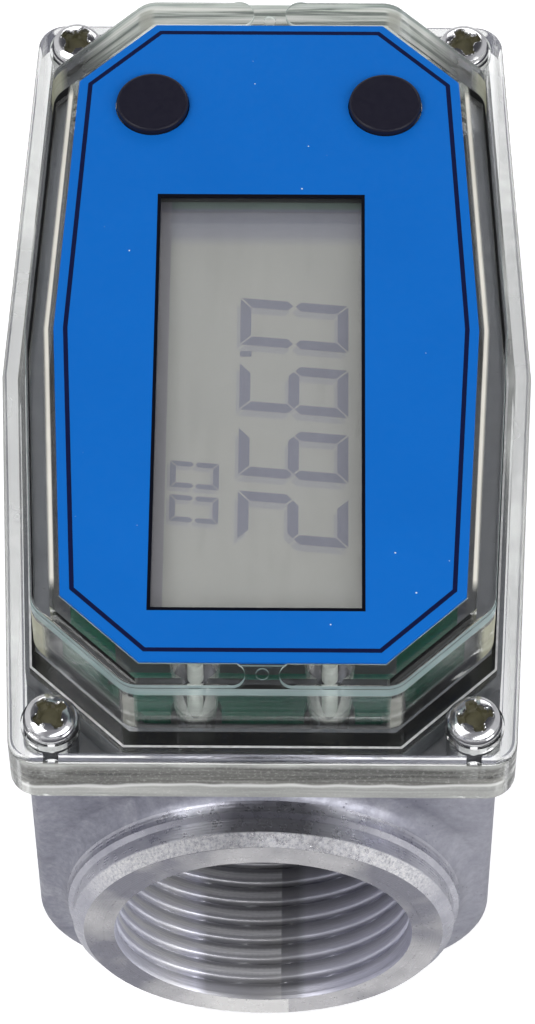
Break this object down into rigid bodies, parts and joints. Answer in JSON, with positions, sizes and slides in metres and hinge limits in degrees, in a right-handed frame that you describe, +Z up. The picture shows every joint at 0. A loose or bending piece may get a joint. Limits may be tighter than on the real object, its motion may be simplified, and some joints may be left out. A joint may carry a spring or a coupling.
{
  "type": "turbine flow meter",
  "caption": "Inline turbine flow meter: die-cast body with a threaded port at each end, a bladed rotor in the bore, and a display with keys under a screwed clear cover.",
  "frame": {"origin": "on the underside of the flat foot, below the middle of the meter", "axes": "+Y along the flow axis from inlet to outlet, +Z up towards the display, +X to the right seen from the inlet"},
  "size_m": [0.0556, 0.1016, 0.0587],
  "materials": {
    "cast_body": "satin",
    "clear_plastic": "gloss",
    "label_film": "satin",
    "seal_rubber": "matte",
    "plated_steel": "polished",
    "board_laminate": "satin",
    "screw_steel": "satin",
    "display_glass": "gloss",
    "bezel_plastic": "matte",
    "contact_rubber": "matte",
    "chip_plastic": "matte",
    "sensor_plastic": "matte",
    "tray_plastic": "matte",
    "cell_jacket": "gloss",
    "contact_metal": "satin",
    "shaft_steel": "polished",
    "washer_plastic": "satin",
    "switch_plastic": "matte",
    "plunger_plastic": "satin",
    "key_plastic": "satin",
    "straightener_plastic": "satin",
    "ring_steel": "satin",
    "rotor_plastic": "satin",
    "bushing_bronze": "satin",
    "magnet_metal": "satin"
  },
  "bodies": {
    "housing": {"flow_body": "cast_body", "clear_cover": "clear_plastic", "face_label": "label_film", "cover_gasket": "seal_rubber", "cover_screws": "plated_steel", "circuit_board": "board_laminate", "board_screws": "screw_steel", "display_panel": "display_glass", "display_bezel": "bezel_plastic", "contact_strips": "contact_rubber", "controller_chip": "chip_plastic", "pickup_sensor": "sensor_plastic", "battery_tray": "tray_plastic", "battery_cells": "cell_jacket", "battery_contacts": "contact_metal", "rotor_shaft": "shaft_steel", "thrust_washers": "washer_plastic", "display_switch": "switch_plastic", "calibrate_switch": "switch_plastic", "inlet_straightener": "straightener_plastic", "inlet_retaining_ring": "ring_steel", "outlet_straightener": "straightener_plastic", "outlet_retaining_ring": "ring_steel"},
    "rotor": {"turbine_rotor": "rotor_plastic", "rotor_bushing": "bushing_bronze", "rotor_magnets": "magnet_metal"},
    "display_key": {"display_button": "key_plastic", "display_plunger": "plunger_plastic"},
    "calibrate_key": {"calibrate_button": "key_plastic", "calibrate_plunger": "plunger_plastic"}
  },
  "joints": [
    {"name": "rotor_spin", "type": "hinge", "parent": "housing", "child": "rotor", "pos_m": [0, 0, 0.021], "axis": [0, 1, 0], "continuous": true},
    {"name": "display_press", "type": "slide", "parent": "housing", "child": "display_key", "axis": [0, 0, -1], "range_m": [0, 0.0004], "stiffness_N_per_m": 2500, "springref_m": -0.0001},
    {"name": "calibrate_press", "type": "slide", "parent": "housing", "child": "calibrate_key", "axis": [0, 0, -1], "range_m": [0, 0.0004], "stiffness_N_per_m": 2500, "springref_m": -0.0001}
  ]
}
